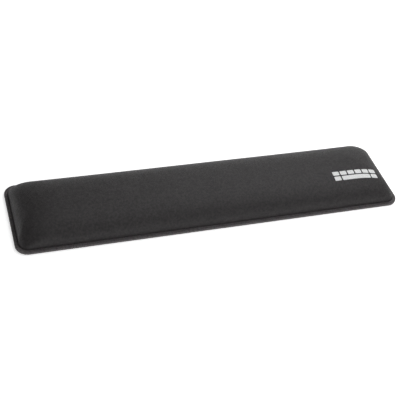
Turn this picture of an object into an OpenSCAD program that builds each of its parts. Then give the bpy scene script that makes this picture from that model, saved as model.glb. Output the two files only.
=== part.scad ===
// Keyboard wrist rest: a moulded foam pad in a stretch-knit cover, bonded to a
// rubber base. The cover and the base are sewn together round the rim with a
// three-thread overlock seam.
// Frame: X along the pad, +Y towards the keyboard, +Z up, origin on the desk
// under the middle of the pad. Millimetres.

/* [Pad] */
// Length of the pad over its sewn rim
pad_length = 444.5; // [300:0.5:540]
// Width of the pad over its sewn rim, front to back
pad_width = 101.6; // [80:0.1:130]
// Height of the pad's crown above the desk
pad_height = 25; // [17:0.5:35]
// Radius of the rim's corners in plan
corner_radius = 13.5; // [9:0.5:25]

/* [Dome] */
// Distance over which each end slopes down to the rim
end_run = 42; // [25:1:70]
// Fullness of the end slopes: 2 is an ellipse, more is squarer
end_fullness = 2.05; // [1.8:0.05:3]
// Fullness of the arch from front to back: 2 is an ellipse, more is squarer
arch_fullness = 2.35; // [2:0.05:4]
// Growth of the corner radius from the foot of the dome to its crown
corner_growth = 19; // [5:1:25]

/* [Layers] */
// Thickness of the rubber base
base_thickness = 2.2; // [1.5:0.1:4]
// Thickness of the adhesive film between the foam and the base
film_thickness = 0.15; // [0.1:0.05:0.4]
// Thickness of the knit cover
cover_thickness = 0.8; // [0.5:0.1:1.5]

/* [Sewn rim] */
// Width of the flat rim outside the dome
rim_width = 4; // [3:0.1:6]
// Thickness of each layer of sewing thread
thread_layer = 0.45; // [0.3:0.05:0.6]
// Width of the line of needle thread
needle_line = 0.5; // [0.4:0.05:0.7]
// Gap between the desk and the lowest thread
thread_lift = 0.05; // [0.05:0.05:0.2]
// Gap between threads that lie side by side
thread_gap = 0.05; // [0.02:0.01:0.1]

/* [Printed emblem] */
// Length of the emblem along the pad
emblem_length = 56; // [30:1:80]
// Height of the emblem from front to back
emblem_height = 13; // [8:1:20]
// Distance from the emblem's outer end to the pad's right-hand end
emblem_margin = 20; // [14:1:60]
// Distance of the emblem's middle in front of the pad's centre line
emblem_offset = 16; // [8:1:20]
// Number of key shapes in the emblem's back row
emblem_keys = 6; // [3:1:7]
// Gap between the emblem's key shapes
emblem_gap = 1.5; // [1:0.5:3]
// Thickness of the printed film
emblem_film = 0.15; // [0.1:0.05:0.3]

/* [Hidden] */

// Stack of the sewn rim, from the desk up.
rebate_top = thread_lift + thread_layer;
cover_bottom = base_thickness;
rim_top = base_thickness + cover_thickness;
thread_top = rim_top + thread_layer;
looper_split = (thread_lift + thread_top) / 2;
needle_outer = rim_width - needle_line - thread_gap;

// Dome: rounded rectangular rings that shrink as they rise.
dome_rings = 22;
corner_steps = 8;
top_angle = 88;
foot_half_x = pad_length / 2 - rim_width;
foot_half_y = pad_width / 2 - rim_width;
foot_radius = corner_radius - rim_width;
crown_margin = 0.3;
emblem_cell = 2;
surface_lift = 0.02;

$fn = 96;

// How far a superelliptic slope has run inwards at a height of rise (0 to 1).
function slope_run(rise, fullness) = 1 - pow(1 - pow(rise, fullness), 1 / fullness);

// Half length, half width and corner radius of the ring at step (0 to 1),
// for the surface that lies depth inside the cover's outer face.
function ring_rise(step) = sin(top_angle * step);
function ring_half_x(step, depth) =
    foot_half_x - depth - end_run * slope_run(ring_rise(step), end_fullness);
function ring_half_y(step, depth) =
    (foot_half_y - depth) * (1 - slope_run(ring_rise(step), arch_fullness));
function ring_radius(step, depth) =
    min(foot_radius - depth + corner_growth * ring_rise(step), ring_half_y(step, depth) - crown_margin);

// Height of the ring at step, on a dome that stands on foot_z and lies depth
// inside the cover's outer face.
function ring_z(step, depth, foot_z) =
    foot_z + (pad_height - depth - foot_z) * ring_rise(step) / sin(top_angle);

// Points of a rounded rectangle at height z, counterclockwise from its front right corner.
function rounded_ring(half_x, half_y, r, z) =
    [
        for (corner = [0:3], i = [0:corner_steps])
            let (
                side_x = corner < 2 ? 1 : -1,
                side_y = corner == 1 || corner == 2 ? 1 : -1,
                angle = 90 * (corner - 1 + i / corner_steps)
            )
            [side_x * (half_x - r) + r * cos(angle), side_y * (half_y - r) + r * sin(angle), z]
    ];

// Points of the dome's ring at step.
function ring_points(step, depth, foot_z) =
    rounded_ring(
        ring_half_x(step, depth),
        ring_half_y(step, depth),
        ring_radius(step, depth),
        ring_z(step, depth, foot_z)
    );

ring_count = 4 * (corner_steps + 1);

// Points of a whole dome, foot ring first.
function dome_points(depth, foot_z) =
    [for (k = [0:dome_rings]) each ring_points(k / dome_rings, depth, foot_z)];

// Side faces between rings lower and lower + 1 of a point list that starts at first.
function band_faces(lower, first = 0) =
    [
        for (i = [0:ring_count - 1], half = [0, 1])
            let (
                j = (i + 1) % ring_count,
                low = first + lower * ring_count,
                high = low + ring_count
            )
            half == 0 ? [low + i, high + j, low + j] : [low + i, high + i, high + j]
    ];

// True where the point lies inside the cover's ring at step.
function inside_ring(x, y, step) =
    let (
        r = ring_radius(step, 0),
        dx = max(abs(x) - ring_half_x(step, 0) + r, 0),
        dy = max(abs(y) - ring_half_y(step, 0) + r, 0)
    )
    norm([dx, dy]) <= r;

// Height of the cover's outer face over a point, found by halving.
function cover_step(x, y, low = 0, high = 1, tries = 18) =
    tries == 0
        ? low
        : let (middle = (low + high) / 2)
            inside_ring(x, y, middle)
                ? cover_step(x, y, middle, high, tries - 1)
                : cover_step(x, y, low, middle, tries - 1);
function cover_z(x, y) = ring_z(cover_step(x, y), 0, rim_top);

// Solid dome with a flat bottom, depth inside the cover's outer face.
module dome_solid(depth, foot_z) {
    last = dome_rings * ring_count;
    polyhedron(
        points = dome_points(depth, foot_z),
        faces = concat(
            [[for (i = [0:ring_count - 1]) i]],
            [for (k = [0:dome_rings - 1]) each band_faces(k)],
            [[for (i = [ring_count - 1:-1:0]) last + i]]
        ),
        convexity = 4
    );
}

// Rounded rectangle, inset from the rim's outline.
module rim_outline(inset) {
    half_x = pad_length / 2 - inset;
    half_y = pad_width / 2 - inset;
    r = corner_radius - inset;
    square([2 * (half_x - r), 2 * half_y], center = true);
    square([2 * half_x, 2 * (half_y - r)], center = true);
    for (x = [-1, 1], y = [-1, 1])
        translate([x * (half_x - r), y * (half_y - r)])
            circle(r);
}

// Flat ring between two insets from the rim's outline.
module rim_ring(outer, inner, bottom, top) {
    translate([0, 0, bottom])
        linear_extrude(top - bottom)
            difference() {
                rim_outline(outer);
                rim_outline(inner);
            }
}

// Rubber sheet with a rebate under its rim, where the lower thread lies.
module rubber_base() {
    color([0.07, 0.07, 0.07]) {
        linear_extrude(rebate_top)
            rim_outline(rim_width);
        translate([0, 0, rebate_top])
            linear_extrude(base_thickness - rebate_top)
                rim_outline(thread_layer);
    }
}

// Film of contact adhesive under the foam.
module base_adhesive_film() {
    color([0.75, 0.7, 0.5])
        translate([0, 0, base_thickness])
            linear_extrude(film_thickness)
                rim_outline(rim_width + cover_thickness);
}

// Moulded foam, which fills the cover.
module foam_core() {
    color([0.2, 0.2, 0.21])
        dome_solid(cover_thickness, base_thickness + film_thickness);
}

// Knit cover: a flat rim and a dome in one piece, open underneath.
module fabric_cover() {
    shell_rings = dome_rings + 1;
    inner = shell_rings * ring_count;
    rim = 2 * inner;
    foot_z = base_thickness + film_thickness;
    top_ring = dome_rings * ring_count;
    // The rim's outline on the foot's ring pattern, so that faces meet point to point.
    rim_half_x = pad_length / 2 - thread_layer;
    rim_half_y = pad_width / 2 - thread_layer;
    rim_points = [
        for (z = [rim_top, cover_bottom])
            each rounded_ring(rim_half_x, rim_half_y, corner_radius - thread_layer, z)
    ];
    inner_foot = [for (p = ring_points(0, cover_thickness, foot_z)) [p[0], p[1], cover_bottom]];
    foot = rim + 2 * ring_count;
    // Faces that join two rings of the same pattern, a to b.
    function joined(a, b) =
        [
            for (i = [0:ring_count - 1], half = [0, 1])
                let (j = (i + 1) % ring_count)
                half == 0 ? [a + i, b + j, a + j] : [a + i, b + i, b + j]
        ];
    color([0.22, 0.21, 0.21])
        polyhedron(
            points = concat(
                dome_points(0, rim_top),
                dome_points(cover_thickness, foot_z),
                rim_points,
                inner_foot
            ),
            faces = concat(
                [for (k = [0:dome_rings - 1]) each band_faces(k)],
                [[for (i = [ring_count - 1:-1:0]) top_ring + i]],
                [for (k = [0:dome_rings - 1]) for (f = band_faces(k, inner)) [f[2], f[1], f[0]]],
                [[for (i = [0:ring_count - 1]) inner + top_ring + i]],
                joined(rim, 0),
                joined(rim + ring_count, rim),
                joined(foot, rim + ring_count),
                joined(inner, foot)
            ),
            convexity = 6
        );
}

// Lower looper thread: it lies under the rim and up the lower half of its edge.
module lower_looper_thread() {
    color([0.05, 0.05, 0.05]) {
        rim_ring(0, needle_outer, thread_lift, rebate_top);
        rim_ring(0, thread_layer, rebate_top, looper_split);
    }
}

// Upper looper thread: it lies on the rim and down the upper half of its edge.
module upper_looper_thread() {
    color([0.08, 0.08, 0.08]) {
        rim_ring(0, thread_layer, looper_split, rim_top);
        rim_ring(0, needle_outer, rim_top, thread_top);
    }
}

// Needle thread: the straight line of stitches at the foot of the dome.
module needle_thread() {
    color([0.06, 0.06, 0.06])
        rim_ring(rim_width - needle_line, rim_width - thread_gap, rim_top, thread_top);
}

// Thin film that follows the dome over a rectangle in plan, in cells of about emblem_cell.
module draped_film(x0, x1, y0, y1) {
    cells_x = ceil((x1 - x0) / emblem_cell);
    cells_y = ceil((y1 - y0) / emblem_cell);
    across = cells_x + 1;
    layer = across * (cells_y + 1);
    points = [
        for (lift = [surface_lift, surface_lift + emblem_film], j = [0:cells_y], i = [0:cells_x])
            let (
                x = x0 + (x1 - x0) * i / cells_x,
                y = y0 + (y1 - y0) * j / cells_y
            )
            [x, y, cover_z(x, y) + lift]
    ];
    // Corner numbers round the film's edge, counterclockwise.
    edge = concat(
        [for (i = [0:cells_x - 1]) i],
        [for (j = [0:cells_y - 1]) j * across + cells_x],
        [for (i = [cells_x:-1:1]) cells_y * across + i],
        [for (j = [cells_y:-1:1]) j * across]
    );
    polyhedron(
        points = points,
        faces = concat(
            [
                for (j = [0:cells_y - 1], i = [0:cells_x - 1], half = [0, 1])
                    let (p = j * across + i, q = p + across)
                    half == 0 ? [p, p + 1, q + 1] : [p, q + 1, q]
            ],
            [
                for (j = [0:cells_y - 1], i = [0:cells_x - 1], half = [0, 1])
                    let (p = layer + j * across + i, q = p + across)
                    half == 0 ? [p, q + 1, p + 1] : [p, q, q + 1]
            ],
            [
                for (k = [0:len(edge) - 1], half = [0, 1])
                    let (p = edge[k], q = edge[(k + 1) % len(edge)])
                    half == 0 ? [p, q + layer, q] : [p, p + layer, q + layer]
            ]
        )
    );
}

// Printed emblem: two rows of key shapes, like the back and front of a keyboard.
module printed_emblem() {
    right = pad_length / 2 - emblem_margin;
    left = right - emblem_length;
    front = -emblem_offset - emblem_height / 2;
    row_depth = (emblem_height - emblem_gap) / 2;
    key_width = (emblem_length - (emblem_keys - 1) * emblem_gap) / emblem_keys;
    key_pitch = key_width + emblem_gap;
    back_row = front + row_depth + emblem_gap;
    color("white") {
        for (x = [left:key_pitch:right - key_width / 2])
            draped_film(x, x + key_width, back_row, back_row + row_depth);
        draped_film(left, left + key_width, front, front + row_depth);
        draped_film(left + key_pitch, right - key_pitch, front, front + row_depth);
        draped_film(right - key_width, right, front, front + row_depth);
    }
}

rubber_base();
base_adhesive_film();
foam_core();
fabric_cover();
lower_looper_thread();
upper_looper_thread();
needle_thread();
printed_emblem();
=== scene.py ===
"""Keyboard wrist rest: knit cover, sewn rim, rubber base and print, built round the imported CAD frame."""

import math

import bpy
import numpy as np
from mathutils import Matrix, Vector
from mathutils.bvhtree import BVHTree


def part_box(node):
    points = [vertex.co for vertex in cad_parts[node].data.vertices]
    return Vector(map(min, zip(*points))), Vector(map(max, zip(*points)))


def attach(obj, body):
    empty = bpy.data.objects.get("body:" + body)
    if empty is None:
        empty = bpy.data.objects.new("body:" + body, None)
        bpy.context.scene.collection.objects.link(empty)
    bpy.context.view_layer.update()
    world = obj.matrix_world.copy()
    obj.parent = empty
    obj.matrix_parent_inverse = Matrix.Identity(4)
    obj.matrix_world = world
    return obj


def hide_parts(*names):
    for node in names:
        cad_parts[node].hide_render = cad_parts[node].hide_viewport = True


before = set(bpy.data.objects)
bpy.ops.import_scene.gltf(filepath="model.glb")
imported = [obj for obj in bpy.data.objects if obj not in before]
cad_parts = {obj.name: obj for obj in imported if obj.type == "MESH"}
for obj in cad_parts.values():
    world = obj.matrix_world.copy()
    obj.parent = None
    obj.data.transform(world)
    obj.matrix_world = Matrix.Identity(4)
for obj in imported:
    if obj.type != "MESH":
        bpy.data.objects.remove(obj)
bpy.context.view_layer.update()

MM = 0.001
# Divisors are kept above this, so that nothing is divided by zero.
TINY = 1e-12

# ---------------------------------------------------------------- sizes from the frame

_, BASE_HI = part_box("rubber_base")
_, COVER_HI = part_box("fabric_cover")
FOAM_LO, FOAM_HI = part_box("foam_core")
_, UPPER_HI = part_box("upper_looper_thread")
LOWER_LO, LOWER_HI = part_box("lower_looper_thread")
NEEDLE_LO, NEEDLE_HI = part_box("needle_thread")
EMBLEM_LO, EMBLEM_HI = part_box("printed_emblem")

RIM_X, RIM_Y = UPPER_HI.x, UPPER_HI.y
PAD_TOP = COVER_HI.z
COVER_THICK = COVER_HI.z - FOAM_HI.z
FOOT_X, FOOT_Y = FOAM_HI.x + COVER_THICK, FOAM_HI.y + COVER_THICK
RIM_WIDTH = RIM_X - FOOT_X
THREAD = RIM_X - BASE_HI.x
RIM_TOP = NEEDLE_LO.z
RIM_BOTTOM = BASE_HI.z
EDGE_MIDDLE = LOWER_HI.z
NEEDLE_INSET = RIM_X - NEEDLE_HI.x

# Shape of the dome, as in the CAD design.
CORNER_R = 13.5 * MM
END_RUN = 42 * MM
END_FULLNESS = 2.05
ARCH_FULLNESS = 2.35
CORNER_GROWTH = 19 * MM
CROWN_MARGIN = 0.3 * MM
TOP_ANGLE = math.radians(88)
FOOT_R = CORNER_R - RIM_WIDTH


# ---------------------------------------------------------------- the dome's shape


def slope_run(rise, fullness):
    """How far a superelliptic slope has run inwards at a height of rise (0 to 1)."""
    return 1 - (1 - rise**fullness) ** (1 / fullness)


def ring_shape(step):
    """Half length, half width, corner radius and height of the dome's ring at step (0 to 1)."""
    rise = math.sin(TOP_ANGLE * step)
    half_x = FOOT_X - END_RUN * slope_run(rise, END_FULLNESS)
    half_y = FOOT_Y * (1 - slope_run(rise, ARCH_FULLNESS))
    radius = min(FOOT_R + CORNER_GROWTH * rise, half_y - CROWN_MARGIN)
    z = RIM_TOP + (PAD_TOP - RIM_TOP) * rise / math.sin(TOP_ANGLE)
    return half_x, half_y, radius, z


def even_steps(count):
    """Steps from foot to crown that are evenly spaced along the arch from front to back."""
    fine = np.linspace(0, 1, 2001)
    half_y, z = np.array([ring_shape(s)[1::2] for s in fine]).T
    along = np.concatenate([[0], np.cumsum(np.hypot(np.diff(half_y), np.diff(z)))])
    return np.interp(np.linspace(0, along[-1], count), along, fine)


def side_points(half_x, half_y, radius, share):
    """Points along the front side of a rounded rectangle, from the middle of one corner to the middle
    of the next. share (0 to 1) is the distance along it."""
    straight = half_x - radius
    arc = radius * math.pi / 4
    d = np.asarray(share) * 2 * (straight + arc)
    start = np.clip(d / max(radius, TINY), 0, math.pi / 4)
    end = np.clip((d - arc - 2 * straight) / max(radius, TINY), 0, math.pi / 4)
    turn = start - math.pi / 4 + end
    middle = np.clip(d - arc, 0, 2 * straight) - straight
    return np.stack([middle + radius * np.sin(turn), -(half_y - radius) - radius * np.cos(turn)], axis=1)


def ring_side(shape, side, share):
    """Points along one side of a ring, counterclockwise: side 0 is the front, 1 the right, 2 the back
    and 3 the left."""
    half_x, half_y, radius, z = shape
    if side % 2:
        half_x, half_y = half_y, half_x
    flat = side_points(half_x, half_y, radius, share)
    turn = side * math.pi / 2
    c, s = math.cos(turn), math.sin(turn)
    x = c * flat[:, 0] - s * flat[:, 1]
    y = s * flat[:, 0] + c * flat[:, 1]
    return np.column_stack([x, y, np.full(len(flat), z)])


def place_ring(grid, shape, k):
    """Puts ring k of a grid of points on a rounded rectangle, side by side."""
    nx, ny = grid.shape[0] - 1, grid.shape[1] - 1
    long, short = nx - 2 * k, ny - 2 * k
    across, up = np.arange(long + 1) / long, np.arange(short + 1) / short
    grid[k : nx - k + 1, k] = ring_side(shape, 0, across)
    grid[nx - k, k : ny - k + 1] = ring_side(shape, 1, up)
    grid[k : nx - k + 1, ny - k] = ring_side(shape, 2, across)[::-1]
    grid[k, k : ny - k + 1] = ring_side(shape, 3, up)[::-1]


def dome_grid(cells_x, cells_y):
    """The cover's outer face as a grid of quads whose rings follow the dome's rings."""
    grid = np.zeros((cells_x + 1, cells_y + 1, 3))
    rings = cells_y // 2
    for k, step in enumerate(even_steps(rings)):
        place_ring(grid, ring_shape(step), k)
    half_x, half_y, _, z = ring_shape(1.0)
    crown = np.linspace(-(half_x - half_y), half_x - half_y, cells_x - 2 * rings + 1)
    grid[rings : cells_x - rings + 1, rings] = np.column_stack([crown, 0 * crown, 0 * crown + z])
    return grid


# ---------------------------------------------------------------- meshes


def new_object(name, points, faces, smooth=True):
    """A mesh object from points and faces, in the row frame."""
    mesh = bpy.data.meshes.new(name)
    mesh.from_pydata([tuple(p) for p in points], [], [tuple(int(i) for i in f) for f in faces])
    mesh.update()
    if smooth:
        mesh.shade_smooth()
    else:
        mesh.shade_flat()
    obj = bpy.data.objects.new(name, mesh)
    bpy.context.scene.collection.objects.link(obj)
    return obj


def vectors_of(collection, name):
    """One vector for each item of a mesh's vertices or of an attribute's data."""
    flat = np.zeros(len(collection) * 3, np.float32)
    collection.foreach_get(name, flat)
    return flat.reshape(-1, 3).astype(float)


def add_attribute(obj, name, values):
    """Stores one vector for each vertex, for the materials to read."""
    attribute = obj.data.attributes.new(name, "FLOAT_VECTOR", "POINT")
    attribute.data.foreach_set("vector", np.asarray(values, np.float32).ravel())


def grid_faces(nx, ny):
    """Quads of a grid of nx by ny cells, counterclockwise from above."""
    i, j = np.meshgrid(np.arange(nx), np.arange(ny), indexing="ij")
    a = (i * (ny + 1) + j).ravel()
    b = a + ny + 1
    return np.stack([a, b, b + 1, a + 1], axis=1)


def edge_loop(nx, ny):
    """Indices of the grid's outer ring, counterclockwise from the front left corner."""
    front = [i * (ny + 1) for i in range(nx)]
    right = [nx * (ny + 1) + j for j in range(ny)]
    back = [i * (ny + 1) + ny for i in range(nx, 0, -1)]
    left = list(range(ny, 0, -1))
    return np.array(front + right + back + left)


def loop_faces(a, b):
    """Quads between two closed loops of indices, a outside b."""
    return np.stack([a, np.roll(a, -1), np.roll(b, -1), b], axis=1)


# ---------------------------------------------------------------- knit cover

CELLS_X, CELLS_Y = 252, 60
SEAM_DIP = 0.2 * MM
# Insets from the rim's outline of the flange's rings, and how far each is pulled down.
FLANGE = [
    (RIM_WIDTH - 0.12 * MM, 0.12 * MM),
    (NEEDLE_INSET + 0.22 * MM, SEAM_DIP),
    (NEEDLE_INSET - 0.2 * MM, 0.12 * MM),
    (RIM_WIDTH / 2, 0.0),
    (THREAD + 0.25 * MM, 0.0),
    (THREAD, 0.2 * MM),
]


def flange_ring(inset, z):
    """A ring of the flange with as many points as the dome's foot."""
    shape = (RIM_X - inset, RIM_Y - inset, CORNER_R - inset, z)
    cells = (CELLS_X, CELLS_Y, CELLS_X, CELLS_Y)
    return np.concatenate([ring_side(shape, s, np.arange(n) / n) for s, n in enumerate(cells)])


def cover_sheet():
    """The cover's outer face: points, faces and the indices of the foot's and the flange's rings."""
    grid = dome_grid(CELLS_X, CELLS_Y)
    points = [grid.reshape(-1, 3)]
    faces = [grid_faces(CELLS_X, CELLS_Y)]
    loops = [edge_loop(CELLS_X, CELLS_Y)]
    for inset, dip in FLANGE:
        first = sum(len(p) for p in points)
        points.append(flange_ring(inset, RIM_TOP - dip))
        loops.append(first + np.arange(len(points[-1])))
        faces.append(loop_faces(loops[-1], loops[-2]))
    return np.concatenate(points), np.concatenate(faces), loops


# The solver works on the cover at this many times its size, where its settings behave well.
SIM_SCALE = 10.0
SIM_FRAMES = 20
SIM_PRESSURE = 1.0
# How firmly the foam holds the cover in place, from 0 to 1.
FOAM_HOLD = 0.15
# Shrinkage of the slack knit: less than zero, so it is cut a little large.
SIM_SLACK = -0.04
# The slack lies round a spot this far in from each corner, and fades over this distance.
SLACK_INSET = 20 * MM
SLACK_REACH = 30 * MM
# The furthest that the solver may move a point, and the passes that take out its broad movement.
SIM_CAP = 1.2 * MM
SMOOTH_PASSES = 400


def slack_weights(points):
    """Where the knit is cut a little large: round the corners of the dome."""
    half_x, half_y, _, _ = ring_shape(0.0)
    from_x = half_x - SLACK_INSET - np.abs(points[:, 0])
    from_y = half_y - SLACK_INSET - np.abs(points[:, 1])
    return np.exp(-((np.hypot(from_x, from_y) / SLACK_REACH) ** 2))


def relax_cover(points, faces, pinned):
    """Lets the knit settle as cloth on the foam, with its sewn foot held. Returns each point's move."""
    start = points * SIM_SCALE
    obj = new_object("cover_simulation", start, faces)
    held = np.full(len(points), FOAM_HOLD)
    held[pinned] = 1.0
    slack = slack_weights(points)
    for name, weights in (("held", held), ("slack", slack)):
        group = obj.vertex_groups.new(name=name)
        for i, weight in enumerate(weights):
            group.add([i], float(weight), "REPLACE")
    modifier = obj.modifiers.new("cloth", "CLOTH")
    cloth = modifier.settings
    cloth.quality = 8
    cloth.mass = 0.2
    cloth.tension_stiffness = 20
    cloth.compression_stiffness = 20
    cloth.shear_stiffness = 8
    cloth.bending_stiffness = 0.4
    cloth.air_damping = 2
    cloth.use_pressure = True
    cloth.uniform_pressure_force = SIM_PRESSURE
    cloth.vertex_group_mass = "held"
    cloth.pin_stiffness = 1.0
    cloth.vertex_group_shrink = "slack"
    cloth.shrink_min = 0.0
    cloth.shrink_max = SIM_SLACK
    cloth.effector_weights.gravity = 0
    modifier.collision_settings.use_collision = False
    modifier.point_cache.frame_start = 1
    modifier.point_cache.frame_end = SIM_FRAMES
    scene = bpy.context.scene
    for number in range(1, SIM_FRAMES + 1):
        scene.frame_set(number)
    graph = bpy.context.evaluated_depsgraph_get()
    settled = obj.evaluated_get(graph).to_mesh()
    moved = (vectors_of(settled.vertices, "co") - start) / SIM_SCALE
    obj.evaluated_get(graph).to_mesh_clear()
    mesh = obj.data
    bpy.data.objects.remove(obj)
    bpy.data.meshes.remove(mesh)
    scene.frame_set(1)
    return moved


def roll_out(grid):
    """Distances over the surface along the grid's own lines, from its middle: the knit's directions."""
    middle_x, middle_y = grid.shape[0] // 2, grid.shape[1] // 2
    along = np.zeros(grid.shape[:2])
    across = np.zeros(grid.shape[:2])
    along[1:] = np.cumsum(np.linalg.norm(np.diff(grid, axis=0), axis=2), axis=0)
    across[:, 1:] = np.cumsum(np.linalg.norm(np.diff(grid, axis=1), axis=2), axis=1)
    along -= along[middle_x]
    across -= across[:, middle_y][:, None]
    return np.stack([along, across, 0 * along], axis=2)


def vertex_normals(points, faces):
    """Unit normals of a quad mesh's points."""
    corner = points[faces]
    normal = np.cross(corner[:, 2] - corner[:, 0], corner[:, 3] - corner[:, 1])
    total = np.zeros_like(points)
    for k in range(4):
        np.add.at(total, faces[:, k], normal)
    return total / np.maximum(np.linalg.norm(total, axis=1, keepdims=True), TINY)


def smoothed(field, passes):
    """A grid of values, averaged with its neighbours, with the edges kept as they are."""
    for _ in range(passes):
        inner = field[:-2, 1:-1] + field[2:, 1:-1] + field[1:-1, :-2] + field[1:-1, 2:]
        field = field.copy()
        field[1:-1, 1:-1] = inner / 4
    return field


def make_cover():
    """The knit cover, a closed shell: dome and sewn flange outside, the foam's side within."""
    points, faces, loops = cover_sheet()
    across = (CELLS_X + 1, CELLS_Y + 1, 3)
    count = across[0] * across[1]
    moved = relax_cover(points, faces, np.concatenate(loops))[:count].reshape(across)
    fine = moved - smoothed(moved, SMOOTH_PASSES)
    size = np.linalg.norm(fine, axis=2, keepdims=True)
    points[:count] += (fine * np.minimum(1, SIM_CAP / np.maximum(size, TINY))).reshape(-1, 3)
    grid = points[:count].reshape(across)
    knit = roll_out(grid).reshape(-1, 3)
    foot = loops[0]
    for loop in loops[1:]:
        knit = np.vstack([knit, knit[foot] + (points[loop] - points[foot]) * [1, 1, 0]])

    inner = points - vertex_normals(points, faces) * COVER_THICK
    inner[count:, :2] = points[count:, :2]
    inner[count:, 2] = RIM_BOTTOM
    inner[foot, 2] = RIM_BOTTOM
    inner[:count, 2] = np.maximum(inner[:count, 2], RIM_BOTTOM)
    total = len(points)
    edge = loop_faces(loops[-1] + total, loops[-1])
    all_faces = np.concatenate([faces, faces[:, ::-1] + total, edge])
    cover = new_object("knit_cover", np.concatenate([points, inner]), all_faces)
    add_attribute(cover, "knit", np.concatenate([knit, knit]))
    return cover


# ---------------------------------------------------------------- foam pad

# Room between the foam and the cover, so that their faces don't touch.
FOAM_EASE = 0.08 * MM


def make_foam():
    """The moulded foam under the cover, with its flat, bonded underside."""
    cells_x, cells_y = CELLS_X // 2, CELLS_Y // 2
    top = dome_grid(cells_x, cells_y)
    faces = grid_faces(cells_x, cells_y)
    flat = top.reshape(-1, 3)
    inner = flat - vertex_normals(flat, faces) * (COVER_THICK + FOAM_EASE)
    foot = edge_loop(cells_x, cells_y)
    inner[:, 2] = np.maximum(inner[:, 2], FOAM_LO.z)
    inner[foot, 2] = FOAM_LO.z
    bottom = np.zeros_like(top)
    rings = cells_y // 2
    edge_x, edge_y = np.abs(inner[foot, 0]).max(), np.abs(inner[foot, 1]).max()
    roundest = 0.9  # the share of a ring's half width that its corner radius may take
    for k in range(rings):
        shrink = k / rings
        half_x, half_y = edge_x - shrink * edge_y, edge_y * (1 - shrink)
        radius = min(FOOT_R - COVER_THICK, half_y * roundest)
        place_ring(bottom, (half_x, half_y, radius, FOAM_LO.z), k)
    line = np.linspace(-(edge_x - edge_y), edge_x - edge_y, cells_x - 2 * rings + 1)
    bottom[rings : cells_x - rings + 1, rings] = np.column_stack([line, 0 * line, 0 * line + FOAM_LO.z])
    bottom = bottom.reshape(-1, 3)
    bottom[foot] = inner[foot]
    return closed_pair("foam_pad", inner, bottom, faces, foot)


def closed_pair(name, top, bottom, faces, foot):
    """A closed mesh of two grids that share their outer ring."""
    total = len(top)
    index = np.arange(total) + total
    index[foot] = foot
    keep = np.ones(2 * total, bool)
    keep[foot + total] = False
    number = np.cumsum(keep) - 1
    all_faces = number[np.concatenate([faces, index[faces[:, ::-1]]])]
    return new_object(name, np.concatenate([top, bottom])[keep], all_faces)


# ---------------------------------------------------------------- rubber base

REBATE_TOP = LOWER_LO.z + THREAD
GRIP_MARGIN = 3 * MM
GRIP_PITCH = 4 * MM
GRIP_LAND = 1.1 * MM
GRIP_WALL = 0.3 * MM
GRIP_DEPTH = 0.4 * MM
MOULD_RADIUS = 0.2 * MM


def grip_lines(half):
    """Lines across the grip pockets along one side, and for each line 1 on a pocket's floor or 0 on the
    land between pockets."""
    count = int(2 * half / GRIP_PITCH)
    pitch = 2 * half / count
    wall = [GRIP_LAND / 2, GRIP_LAND / 2 + GRIP_WALL]
    offsets = np.array(wall + [pitch - w for w in wall[::-1]])
    lines = (np.arange(count)[:, None] * pitch + offsets).ravel() - half
    return np.concatenate([[-half], lines, [half]]), np.array([0] + [0, 1, 1, 0] * count + [0])


def make_base():
    """The rubber base, with shallow square pockets moulded into its underside for grip."""
    half_x, half_y = FOOT_X - GRIP_MARGIN, FOOT_Y - GRIP_MARGIN
    (xs, floor_x), (ys, floor_y) = grip_lines(half_x), grip_lines(half_y)
    nx, ny = len(xs) - 1, len(ys) - 1
    pockets = np.zeros((nx + 1, ny + 1, 3))
    pockets[..., 0], pockets[..., 1] = xs[:, None], ys
    pockets[..., 2] = GRIP_DEPTH * np.outer(floor_x, floor_y)
    points = [pockets.reshape(-1, 3)]
    faces = [list(f) for f in grid_faces(nx, ny)[:, ::-1]]
    loop = edge_loop(nx, ny)
    along_x, along_y = (xs[:-1] / half_x + 1) / 2, (ys[:-1] / half_y + 1) / 2
    # Insets from the rim's outline and heights of the base's side, from the desk up.
    outlines = [
        (RIM_WIDTH + MOULD_RADIUS, 0),
        (RIM_WIDTH, MOULD_RADIUS),
        (RIM_WIDTH, REBATE_TOP),
        (THREAD, REBATE_TOP),
        (THREAD, RIM_BOTTOM),
    ]
    for inset, z in outlines:
        shape = (RIM_X - inset, RIM_Y - inset, CORNER_R - inset, z)
        shares = (along_x, along_y, along_x, along_y)
        points.append(np.concatenate([ring_side(shape, k, share) for k, share in enumerate(shares)]))
        outer = sum(len(p) for p in points[:-1]) + np.arange(len(loop))
        faces += [list(f) for f in loop_faces(loop, outer)]
        loop = outer
    faces.append(list(loop))
    return new_object("rubber_sole", np.concatenate(points), faces, smooth=False)


# ---------------------------------------------------------------- overlock threads

PITCH = 1.6 * MM
# How far along the rim a looper's loops lean between its edge and its foot, in pitches.
LEAN = 0.35
# Length over which the seam is sewn twice, and the place along the back where it starts.
OVERLAP = 12 * MM
SEAM_START = -60 * MM
THREAD_HALF_WIDTH = 0.33 * MM
THREAD_HALF_HEIGHT = 0.19 * MM
NEEDLE_RADIUS = 0.15 * MM
# Inset of the needle line from the rim's outline, between the needle band's outer edge and the foot.
NEEDLE_AT = NEEDLE_INSET + (RIM_WIDTH - NEEDLE_INSET) * 0.45
TUBE_SIDES = 6
# Spread of the stitches' places, in pitches.
JITTER = 0.05
STRAIGHT_X, STRAIGHT_Y = 2 * (RIM_X - CORNER_R), 2 * (RIM_Y - CORNER_R)
QUARTER = CORNER_R * math.pi / 2
PERIMETER = 2 * (STRAIGHT_X + STRAIGHT_Y) + 4 * QUARTER


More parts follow.
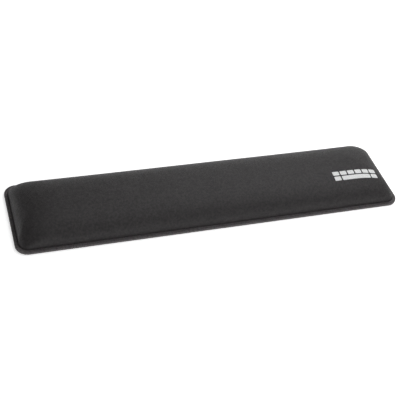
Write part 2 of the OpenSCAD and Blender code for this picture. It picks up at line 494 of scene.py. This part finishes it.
def outline_at(distance):
    """Points and outward directions on the rim's outline, counterclockwise from the back's SEAM_START."""
    lengths = [STRAIGHT_X, QUARTER, STRAIGHT_Y, QUARTER] * 2
    start = 1.5 * STRAIGHT_X + 2 * QUARTER + STRAIGHT_Y - SEAM_START
    d = (np.asarray(distance) + start) % PERIMETER
    x, y = -STRAIGHT_X / 2, -STRAIGHT_Y / 2
    point = np.zeros((len(d), 2))
    out = np.zeros((len(d), 2))
    first = 0.0
    heading = 0.0
    for k, length in enumerate(lengths):
        inside = (d >= first) & (d < first + length)
        run = d[inside] - first
        if k % 2 == 0:
            normal = np.array([math.sin(heading), -math.cos(heading)])
            ahead = np.array([math.cos(heading), math.sin(heading)])
            point[inside] = np.array([x, y]) + normal * CORNER_R + ahead * run[:, None]
            out[inside] = normal
            x, y = x + ahead[0] * length, y + ahead[1] * length
        else:
            turn = heading + run / CORNER_R
            out[inside] = np.stack([np.sin(turn), -np.cos(turn)], axis=1)
            point[inside] = np.array([x, y]) + out[inside] * CORNER_R
            heading += math.pi / 2
        first += length
    return point, out


def tube(points, ups, half_width, half_height):
    """Points, faces and twist coordinates of a closed tube with an oval section."""
    sides = TUBE_SIDES
    ahead = np.gradient(points, axis=0)
    ahead /= np.maximum(np.linalg.norm(ahead, axis=1, keepdims=True), TINY)
    side = np.cross(ahead, ups)
    side /= np.maximum(np.linalg.norm(side, axis=1, keepdims=True), TINY)
    up = np.cross(side, ahead)
    angle = np.arange(sides) * 2 * math.pi / sides
    c, s = np.cos(angle), np.sin(angle)
    ring = side[:, None] * half_width * c[:, None] + up[:, None] * half_height * s[:, None]
    made = (points[:, None] + ring).reshape(-1, 3)
    a = np.arange((len(points) - 1) * sides)
    b = a - a % sides + (a + 1) % sides
    faces = [list(f) for f in np.stack([a, a + sides, b + sides, b], axis=1)]
    faces += [list(range(sides)), list(range(len(made) - 1, len(made) - sides - 1, -1))]
    along = np.concatenate([[0], np.cumsum(np.linalg.norm(np.diff(points, axis=0), axis=1))])
    twist = [np.tile(c, len(points)), np.tile(s, len(points)), np.repeat(along, sides)]
    return made, faces, np.stack(twist).T


def sew(name, pattern, half_width, half_height, lean, overlap, seed):
    """One continuous thread round the rim. pattern's rows are a stitch's points: share of the pitch,
    inset, height and tilt, the angle in degrees by which the thread's outer side is turned from up to
    outwards."""
    stitches = round(PERIMETER / PITCH)
    pitch = PERIMETER / stitches
    total = stitches + round(overlap / pitch)
    share, inset, height, tilt = np.array(pattern).T
    rng = np.random.default_rng(seed)
    wander = rng.normal(0, JITTER, total) * pitch
    distance = ((np.arange(total)[:, None] + share) * pitch + wander[:, None]).ravel()
    inset, height, tilt = (np.tile(v, total) for v in (inset, height, np.radians(tilt)))
    distance += lean * pitch * (1 - inset / RIM_WIDTH)
    point, out = outline_at(distance)
    ups = np.column_stack([out * np.sin(tilt)[:, None], np.cos(tilt)])
    line = np.column_stack([point - out * inset[:, None], height])
    # Where the seam is sewn twice, the thread climbs onto its own start over two stitches.
    line += ups * (2 * half_height * np.clip((distance - PERIMETER) / (2 * pitch), 0, 1))[:, None]
    points, faces, twist = tube(line, ups, half_width, half_height)
    obj = new_object(name, points, faces)
    add_attribute(obj, "twist", twist)
    return obj


def mirrored(half):
    """A stitch's points from its inner turn to its outer turn and back."""
    return half + [(1 - share, inset, z, tilt) for share, inset, z, tilt in half[-2:0:-1]]


def make_upper_looper():
    """The looper thread on the rim: from the needle line to the rim's edge and half way down it."""
    top = RIM_TOP + THREAD / 2
    side = THREAD / 2
    return sew(
        "overlock_upper_looper",
        mirrored(
            [
                (0.00, NEEDLE_AT + 0.05 * MM, top - 0.12 * MM, 0),
                (0.17, NEEDLE_AT - 0.12 * MM, top - 0.06 * MM, 0),
                (0.24, NEEDLE_INSET - 0.3 * MM, top, 0),
                (0.25, RIM_WIDTH / 2, top + 0.03 * MM, 0),
                (0.26, 0.8 * MM, top, 5),
                (0.27, side + 0.12 * MM, top - 0.12 * MM, 40),
                (0.28, side, top - 0.45 * MM, 80),
                (0.32, side, EDGE_MIDDLE + 0.45 * MM, 90),
                (0.42, side - 0.05 * MM, EDGE_MIDDLE + 0.1 * MM, 90),
                (0.50, side - 0.08 * MM, EDGE_MIDDLE - 0.05 * MM, 90),
            ]
        ),
        THREAD_HALF_WIDTH,
        THREAD_HALF_HEIGHT,
        LEAN,
        OVERLAP,
        1,
    )


def make_lower_looper():
    """The looper thread under the rim: from the needle line to the rim's edge and half way up it."""
    bottom = LOWER_LO.z + THREAD / 2
    side = THREAD / 2
    return sew(
        "overlock_lower_looper",
        mirrored(
            [
                (0.00, NEEDLE_AT - 0.1 * MM, bottom, 180),
                (0.17, NEEDLE_AT - 0.25 * MM, bottom, 180),
                (0.24, NEEDLE_INSET - 0.3 * MM, bottom, 180),
                (0.25, RIM_WIDTH / 2, bottom, 180),
                (0.26, 0.8 * MM, bottom, 175),
                (0.27, side + 0.12 * MM, bottom + 0.12 * MM, 140),
                (0.28, side, bottom + 0.45 * MM, 100),
                (0.32, side, EDGE_MIDDLE - 0.5 * MM, 90),
                (0.42, side + 0.05 * MM, EDGE_MIDDLE - 0.1 * MM, 90),
                (0.50, side + 0.1 * MM, EDGE_MIDDLE + 0.05 * MM, 90),
            ]
        ),
        THREAD_HALF_WIDTH,
        THREAD_HALF_HEIGHT,
        LEAN,
        0.0,
        2,
    )


def make_needle_thread():
    """The needle thread: short stitches along the rim's top, each drawn down through cover and base."""
    top = NEEDLE_HI.z - NEEDLE_RADIUS
    low = LOWER_LO.z + NEEDLE_RADIUS
    return sew(
        "overlock_needle_thread",
        [
            (-0.47, NEEDLE_AT, low + 0.3 * MM, 90),
            (-0.45, NEEDLE_AT, RIM_BOTTOM, 90),
            (-0.40, NEEDLE_AT, RIM_TOP + 0.05 * MM, 60),
            (-0.28, NEEDLE_AT, top - 0.04 * MM, 0),
            (0.00, NEEDLE_AT, top + 0.02 * MM, 0),
            (0.28, NEEDLE_AT, top - 0.04 * MM, 0),
            (0.40, NEEDLE_AT, RIM_TOP + 0.05 * MM, 60),
            (0.45, NEEDLE_AT, RIM_BOTTOM, 90),
            (0.47, NEEDLE_AT, low + 0.3 * MM, 90),
            (0.50, NEEDLE_AT, low, 90),
        ],
        NEEDLE_RADIUS,
        NEEDLE_RADIUS,
        0.0,
        OVERLAP,
        1,
    )


# ---------------------------------------------------------------- print

KEYS = 6
KEY_GAP = 1.5 * MM
KEY_CORNER = 0.9 * MM
KEY_SHARPEST = 0.05 * MM
PRINT_CELL = 0.8 * MM
# Over the knit, the film's top lies at PRINT_LIFT plus PRINT_THICK, its edge at PRINT_LIFT plus
# PRINT_EDGE times PRINT_THICK, and its underside at PRINT_SEAT times PRINT_LIFT.
PRINT_LIFT = 0.03 * MM
PRINT_THICK = 0.09 * MM
PRINT_EDGE = 0.3
PRINT_SEAT = 0.2
# Height above the desk from which the print is dropped onto the cover, in metres.
DROP_HEIGHT = 1.0


def key_places():
    """Centre and half sizes of each key shape, in the CAD emblem's box."""
    length = EMBLEM_HI.x - EMBLEM_LO.x
    depth = (EMBLEM_HI.y - EMBLEM_LO.y - KEY_GAP) / 2
    width = (length - (KEYS - 1) * KEY_GAP) / KEYS
    front, back = EMBLEM_LO.y + depth / 2, EMBLEM_HI.y - depth / 2
    spans = [(EMBLEM_LO.x + k * (width + KEY_GAP), width, back) for k in range(KEYS)]
    spans += [(EMBLEM_LO.x, width, front), (EMBLEM_HI.x - width, width, front)]
    spans += [(EMBLEM_LO.x + width + KEY_GAP, length - 2 * (width + KEY_GAP), front)]
    return [(x + w / 2, y, w / 2, depth / 2) for x, w, y in spans]


def even_cells(length, cell):
    """An even number of cells of about this size, at least four."""
    return max(4, 2 * round(length / cell / 2))


def key_grid(half_x, half_y, nx, ny):
    """A flat grid of points over a rectangle with rounded corners, middle at the origin."""
    rings = ny // 2
    grid = np.zeros((nx + 1, ny + 1, 3))
    roundest = 0.99  # the share of a ring's half width that its corner radius may take
    for k in range(rings):
        shrink = half_y * k / rings
        radius = min(max(KEY_CORNER - shrink, KEY_SHARPEST), (half_y - shrink) * roundest)
        place_ring(grid, (half_x - shrink, half_y - shrink, radius, 0), k)
    middle = half_x - half_y
    grid[rings : nx - rings + 1, rings, 0] = np.linspace(-middle, middle, nx - 2 * rings + 1)
    return grid.reshape(-1, 3)


def knit_place(mesh, knit, face, spot):
    """The knit's own coordinates at a spot on one of the cover's faces."""
    first, second, _, last = mesh.polygons[face].vertices
    origin = mesh.vertices[first].co
    sides = np.array([mesh.vertices[v].co - origin for v in (second, last)])[:, :2]
    share = np.linalg.solve(sides.T, np.array(spot - origin)[:2])
    return knit[first] + share @ (knit[[second, last]] - knit[first])


def make_print(cover):
    """The printed key shapes: thin films that follow the cover's own surface."""
    mesh = cover.data
    tree = BVHTree.FromPolygons([v.co for v in mesh.vertices], [tuple(p.vertices) for p in mesh.polygons])
    knit = vectors_of(mesh.attributes["knit"].data, "vector")
    points, faces, weave, total = [], [], [], 0
    for x, y, half_x, half_y in key_places():
        nx, ny = even_cells(2 * half_x, PRINT_CELL), even_cells(2 * half_y, PRINT_CELL)
        flat = key_grid(half_x, half_y, nx, ny) + [x, y, 0]
        down = Vector((0, 0, -1))
        hits = [tree.ray_cast(Vector((px, py, DROP_HEIGHT)), down) for px, py, _ in flat]
        spots = np.array([h[0] for h in hits])
        normal = np.array([h[1] for h in hits])
        foot = edge_loop(nx, ny)
        rise = np.full(len(flat), PRINT_LIFT + PRINT_THICK)
        rise[foot] = PRINT_LIFT + PRINT_EDGE * PRINT_THICK
        points += [spots + normal * rise[:, None], spots + normal * PRINT_LIFT * PRINT_SEAT]
        weave += 2 * [knit_place(mesh, knit, h[2], h[0]) for h in hits]
        quads = grid_faces(nx, ny)
        n = len(flat)
        faces += [quads + total, quads[:, ::-1] + total + n, loop_faces(foot + n, foot) + total]
        total += 2 * n
    obj = new_object("printed_keys", np.concatenate(points), np.concatenate(faces))
    add_attribute(obj, "knit", weave)
    return obj


# ---------------------------------------------------------------- materials

NOISE_LOW, NOISE_HIGH = 0.3, 0.7


class Nodes:
    """A material's node tree, built by short calls."""

    def __init__(self, name):
        self.material = bpy.data.materials.new(name)
        self.material.use_nodes = True
        self.tree = self.material.node_tree
        self.shader = self.tree.nodes["Principled BSDF"]

    def add(self, kind, **values):
        """A new node with these properties."""
        node = self.tree.nodes.new("ShaderNode" + kind)
        for key, value in values.items():
            setattr(node, key, value)
        return node

    def link(self, source, target):
        self.tree.links.new(source, target)

    def math(self, operation, a, b=0.0, c=0.0):
        """A sum on values that are numbers or sockets."""
        node = self.add("Math", operation=operation)
        for socket, value in zip(node.inputs, (a, b, c)):
            if isinstance(value, bpy.types.NodeSocket):
                self.link(value, socket)
            else:
                socket.default_value = value
        return node.outputs[0]

    def attribute(self, name):
        """The X, Y and Z sockets of a mesh attribute."""
        node = self.add("Attribute", attribute_name=name)
        split = self.add("SeparateXYZ")
        self.link(node.outputs["Vector"], split.inputs[0])
        return split.outputs

    def object_place(self):
        """The place on the object, in metres."""
        return self.add("TexCoord").outputs["Object"]

    def noise(self, vector, scale, detail=3.0, roughness=0.55):
        """Fractal noise, mostly between NOISE_LOW and NOISE_HIGH. scale is in cells for each metre."""
        node = self.add("TexNoise")
        node.inputs["Scale"].default_value = scale
        node.inputs["Detail"].default_value = detail
        node.inputs["Roughness"].default_value = roughness
        self.link(vector, node.inputs["Vector"])
        return node.outputs["Fac"]

    def ramp(self, value, *stops):
        """A colour that runs through stops, pairs of a value from 0 to 1 and a colour."""
        node = self.add("ValToRGB")
        ramp = node.color_ramp
        while len(ramp.elements) < len(stops):
            ramp.elements.new(0.5)
        for element, (place, colour) in zip(ramp.elements, stops):
            element.position = place
            element.color = (*colour, 1)
        self.link(value, node.inputs["Fac"])
        return node.outputs["Color"]

    def range(self, value, low, high, to_low, to_high):
        """The value, stretched from low to high onto to_low to to_high, and held at its ends."""
        node = self.add("MapRange")
        for socket, number in zip(node.inputs[1:5], (low, high, to_low, to_high)):
            socket.default_value = number
        self.link(value, node.inputs[0])
        return node.outputs[0]

    def vary(self, noise, low, high):
        """A value that a noise varies from low to high."""
        return self.range(noise, NOISE_LOW, NOISE_HIGH, low, high)

    def bump(self, height, distance, strength, under=None):
        """Relief on the surface, on top of the relief in under."""
        node = self.add("Bump")
        node.inputs["Strength"].default_value = strength
        node.inputs["Distance"].default_value = distance
        self.link(height, node.inputs["Height"])
        if under is not None:
            self.link(under, node.inputs["Normal"])
        self.link(node.outputs["Normal"], self.shader.inputs["Normal"])
        return node.outputs["Normal"]

    def set(self, **values):
        """Sets the shader's own sockets, with _ for each space in their names."""
        for key, value in values.items():
            self.shader.inputs[key.replace("_", " ")].default_value = value


# Pitch of the knit's columns and rows of stitches.
WALE = 0.85 * MM
COURSE = 0.62 * MM
STITCH_SLANT = 1.3
CHARCOAL = 0.0165
# Length over which a sewing thread's plies turn once.
PLY_TURN = 0.7 * MM


def grey(value, warm=0.0):
    """A grey of this brightness, with more red and a little more blue where warm is over zero."""
    return (value * (1 + warm), value, value * (1 + 0.3 * warm))


def knit_height(n):
    """Height of a plain knit: columns of V-shaped stitches, from the knit attribute."""
    knit = n.attribute("knit")
    column = n.math("MULTIPLY", knit["X"], 1 / WALE)
    row = n.math("MULTIPLY", knit["Y"], 1 / COURSE)
    across = n.math("ABSOLUTE", n.math("SUBTRACT", n.math("FRACT", column), 0.5))
    slanted = n.math("ADD", row, n.math("MULTIPLY", across, STITCH_SLANT))
    loop = n.math("SINE", n.math("MULTIPLY", slanted, 2 * math.pi))
    leg = n.math("SINE", n.math("MULTIPLY", across, 2 * math.pi))
    loop_height = n.math("MULTIPLY_ADD", loop, 0.5, 0.5)
    leg_height = n.math("MULTIPLY_ADD", leg, 0.75, 0.25)
    return n.math("MULTIPLY", loop_height, leg_height)


def knit_material():
    """Charcoal knit: stitches in uneven tones, with heathered tufts and fine flecks, and painted shade that
    darkens the knit's hollows and lightens its loops.
    """
    n = Nodes("charcoal_knit")
    place = n.object_place()
    height = knit_height(n)
    patch = n.noise(place, 55, 4)
    heather = n.noise(place, 420, 3, 0.6)
    fleck = n.noise(place, 1400, 2, 0.7)
    # Each of these multiplies the colour's brightness, which the ramp takes up to full_shade.
    tone_and_painted_shade = n.math("MULTIPLY", n.vary(patch, 0.92, 1.08), n.vary(fleck, 0.75, 1.25))
    tone_and_painted_shade = n.math("MULTIPLY", tone_and_painted_shade, n.range(heather, 0.35, 0.65, 0.58, 1.42))
    # Painted shade: the colour follows the knit's height, darker in the hollows between stitches and lighter
    # on the loops' tops.
    tone_and_painted_shade = n.math("MULTIPLY", tone_and_painted_shade, n.range(height, 0, 1, 0.7, 1.15))
    full_shade = 2.5
    brightest = grey(full_shade * CHARCOAL, 0.2)
    colour = n.ramp(n.math("MULTIPLY", tone_and_painted_shade, 1 / full_shade), (0, grey(0.0)), (1, brightest))
    n.link(colour, n.shader.inputs["Base Color"])
    rough = n.math("ADD", n.vary(fleck, 0.46, 0.54), n.range(heather, 0.35, 0.65, 0.05, -0.02))
    n.link(rough, n.shader.inputs["Roughness"])
    n.set(Specular_IOR_Level=0.48)
    weave = n.bump(height, 0.12 * MM, 0.8)
    tufts = n.bump(heather, 0.16 * MM, 0.7, under=weave)
    n.bump(fleck, 0.05 * MM, 0.6, under=tufts)
    return n.material


def thread_material(name, value):
    """Twisted sewing thread of this brightness, with painted shade in the grooves between its plies."""
    n = Nodes(name)
    twist = n.attribute("twist")
    place = n.object_place()
    turn = n.math("MULTIPLY", twist["Z"], 2 * math.pi / PLY_TURN)
    angle = n.math("ARCTAN2", twist["Y"], twist["X"])
    ply = n.math("SINE", n.math("ADD", n.math("MULTIPLY", angle, 2.0), turn))
    fibre = n.noise(place, 5200, 2, 0.6)
    # Painted shade: the colour follows the plies' twist, darker in the grooves between plies and lighter on
    # their crowns.
    tone_and_painted_shade = n.math("MULTIPLY", n.range(ply, -1, 1, 0.6, 1.2), n.vary(fibre, 0.7, 1.3))
    colour = n.ramp(n.math("MULTIPLY", tone_and_painted_shade, 0.5), (0, grey(0.0)), (1, grey(2 * value, 0.1)))
    n.link(colour, n.shader.inputs["Base Color"])
    n.link(n.vary(fibre, 0.42, 0.6), n.shader.inputs["Roughness"])
    n.set(Specular_IOR_Level=0.6)
    plies = n.bump(ply, 0.05 * MM, 0.8)
    n.bump(fibre, 0.02 * MM, 0.6, under=plies)
    return n.material


def rubber_material():
    """Black rubber with a fine moulded grain."""
    n = Nodes("black_rubber")
    place = n.object_place()
    grain = n.noise(place, 1800, 3, 0.6)
    patch = n.noise(place, 40, 3)
    colour = n.ramp(patch, (0.3, grey(0.016, 0.02)), (0.7, grey(0.023, 0.02)))
    n.link(colour, n.shader.inputs["Base Color"])
    n.link(n.vary(grain, 0.62, 0.85), n.shader.inputs["Roughness"])
    n.set(Specular_IOR_Level=0.4)
    n.bump(grain, 0.05 * MM, 0.7)
    return n.material


def foam_material():
    """Dark foam: lighter cell walls round darker cells."""
    n = Nodes("grey_foam")
    place = n.object_place()
    cells = n.add("TexVoronoi", feature="DISTANCE_TO_EDGE")
    cells.inputs["Scale"].default_value = 1500
    n.link(place, cells.inputs["Vector"])
    wall = cells.outputs["Distance"]
    colour = n.ramp(wall, (0.0, grey(0.09)), (0.35, grey(0.03)))
    n.link(colour, n.shader.inputs["Base Color"])
    n.link(n.vary(n.noise(place, 300), 0.85, 1.0), n.shader.inputs["Roughness"])
    n.bump(wall, 0.1 * MM, 0.9)
    return n.material


def adhesive_material():
    """Amber contact adhesive, spread in streaks."""
    n = Nodes("contact_adhesive")
    place = n.object_place()
    streak = n.noise(place, 220, 5, 0.7)
    n.link(n.ramp(streak, (0.3, (0.42, 0.33, 0.14)), (0.7, (0.6, 0.5, 0.27))), n.shader.inputs["Base Color"])
    n.link(n.vary(streak, 0.25, 0.5), n.shader.inputs["Roughness"])
    n.bump(streak, 0.06 * MM, 0.8)
    return n.material


def print_material():
    """White film pressed onto the knit, a little thinner over the gaps between stitches."""
    n = Nodes("white_print")
    place = n.object_place()
    grain = n.noise(place, 1700, 3, 0.6)
    height = knit_height(n)
    cover = n.math("ADD", n.range(height, 0.0, 0.5, -0.25, 0.1), grain)
    n.link(n.ramp(cover, (0.2, grey(0.6)), (0.4, grey(0.96))), n.shader.inputs["Base Color"])
    n.link(n.vary(grain, 0.5, 0.7), n.shader.inputs["Roughness"])
    n.set(Specular_IOR_Level=0.3)
    weave = n.bump(height, 0.08 * MM, 0.7)
    n.bump(grain, 0.03 * MM, 0.5, under=weave)
    return n.material


def dress(obj, material):
    """Gives an object this material and no other."""
    obj.data.materials.clear()
    obj.data.materials.append(material)


# ---------------------------------------------------------------- camera, light and floor

AZIMUTH, ELEVATION, ROLL = (math.radians(a) for a in (-24.59, 43.92, 10.47))
# Distance from the desk under the pad's middle, and how far that point lies right of and above the
# picture's middle.
DISTANCE = 0.967
SHIFT_RIGHT, SHIFT_UP = 8.39 * MM, 3.69 * MM
# Focal length in millimetres, on a sensor 36 mm wide.
LENS = 76.54
PAD_MIDDLE = Vector((0, 0, 0))
WORLD_LIGHT = 0.12
FLOOR_HALF = 40.0
# The floor glows a little, so that it is white in the picture: from GLOW near the pad to FAR_GLOW
# where the softboxes' own light has faded.
GLOW, FAR_GLOW = 0.6, 0.95
GLOW_FROM, GLOW_TO = 0.6, 2.0


def make_camera():
    """The camera: it looks down on the pad from the front left, rolled a little."""
    back = Vector((
        math.sin(AZIMUTH) * math.cos(ELEVATION),
        -math.cos(AZIMUTH) * math.cos(ELEVATION),
        math.sin(ELEVATION),
    ))
    level = Vector((math.cos(AZIMUTH), math.sin(AZIMUTH), 0))
    up = back.cross(level)
    right = level * math.cos(ROLL) + up * math.sin(ROLL)
    top = up * math.cos(ROLL) - level * math.sin(ROLL)
    data = bpy.data.cameras.new("camera")
    data.lens = LENS
    data.clip_start, data.clip_end = 0.01, 200
    camera = bpy.data.objects.new("camera", data)
    turn = Matrix((right, top, back)).transposed().to_4x4()
    camera.matrix_world = Matrix.Translation(back * DISTANCE - right * SHIFT_RIGHT - top * SHIFT_UP) @ turn
    bpy.context.scene.collection.objects.link(camera)
    bpy.context.scene.camera = camera


def softbox(name, spot, size, power):
    """A rectangular area light at a spot, in metres, that faces the pad's middle."""
    data = bpy.data.lights.new(name, "AREA")
    data.shape = "RECTANGLE"
    data.size, data.size_y = size
    data.energy = power
    light = bpy.data.objects.new(name, data)
    light.location = spot
    light.rotation_euler = (PAD_MIDDLE - Vector(spot)).to_track_quat("-Z", "Y").to_euler()
    bpy.context.scene.collection.objects.link(light)


def make_lights():
    """Six soft lights round the pad and a faint even light from everywhere."""
    softbox("key_softbox", (0.6, 0.0, 0.9), (0.5, 0.4), 3.1)
    softbox("top_softbox", (0.3, 0.3, 1.0), (0.5, 0.4), 1.4)
    softbox("back_softbox", (0.3, 0.6, 0.55), (0.5, 0.4), 2.2)
    softbox("high_front_softbox", (0.0, -0.7, 1.21), (0.7, 0.7), 1.8)
    softbox("low_front_softbox", (0.1, -1.0, 0.16), (0.5, 0.4), 2.0)
    softbox("low_left_softbox", (-1.2, 0.69, 0.2), (0.7, 0.35), 0.5)
    world = bpy.data.worlds.new("studio")
    world.use_nodes = True
    sky = world.node_tree.nodes["Background"]
    sky.inputs["Color"].default_value = (1, 1, 1, 1)
    sky.inputs["Strength"].default_value = WORLD_LIGHT
    bpy.context.scene.world = world


def make_floor():
    """A plain pale floor."""
    half = FLOOR_HALF
    corners = [(-half, -half, 0), (half, -half, 0), (half, half, 0), (-half, half, 0)]
    floor = new_object("studio_floor", corners, [(0, 1, 2, 3)], smooth=False)
    n = Nodes("pale_floor")
    n.set(Base_Color=(0.92, 0.92, 0.92, 1), Roughness=0.9, Specular_IOR_Level=0.1)
    n.set(Emission_Color=(1, 1, 1, 1))
    far = n.add("VectorMath", operation="LENGTH")
    n.link(n.object_place(), far.inputs[0])
    glow = n.range(far.outputs["Value"], GLOW_FROM, GLOW_TO, GLOW, FAR_GLOW)
    n.link(glow, n.shader.inputs["Emission Strength"])
    dress(floor, n.material)


# ---------------------------------------------------------------- the whole object


def add_piece(obj, material, slot, *nodes):
    """Gives a piece its material and its body, and hides the CAD nodes that it stands for. slot is not used.
    """
    dress(obj, material)
    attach(obj, "root")
    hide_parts(*nodes)


def make_object():
    """Every visible piece, in its place and with its material."""
    cover = make_cover()
    foam = make_foam()
    thread = thread_material("overlock_thread", 0.12)
    fine_thread = thread_material("needle_thread_fibre", 0.06)
    add_piece(cover, knit_material(), "knit_cover", "fabric_cover")
    add_piece(foam, foam_material(), "foam", "foam_core")
    add_piece(make_upper_looper(), thread, "thread", "upper_looper_thread")
    add_piece(make_lower_looper(), thread, "thread", "lower_looper_thread")
    add_piece(make_needle_thread(), fine_thread, "thread", "needle_thread")
    add_piece(make_print(cover), print_material(), "print", "printed_emblem")
    add_piece(make_base(), rubber_material(), "base_rubber", "rubber_base")
    dress(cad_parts["base_adhesive_film"], adhesive_material())


make_object()
make_camera()
make_lights()
make_floor()
bpy.context.scene.view_settings.view_transform = "Standard"
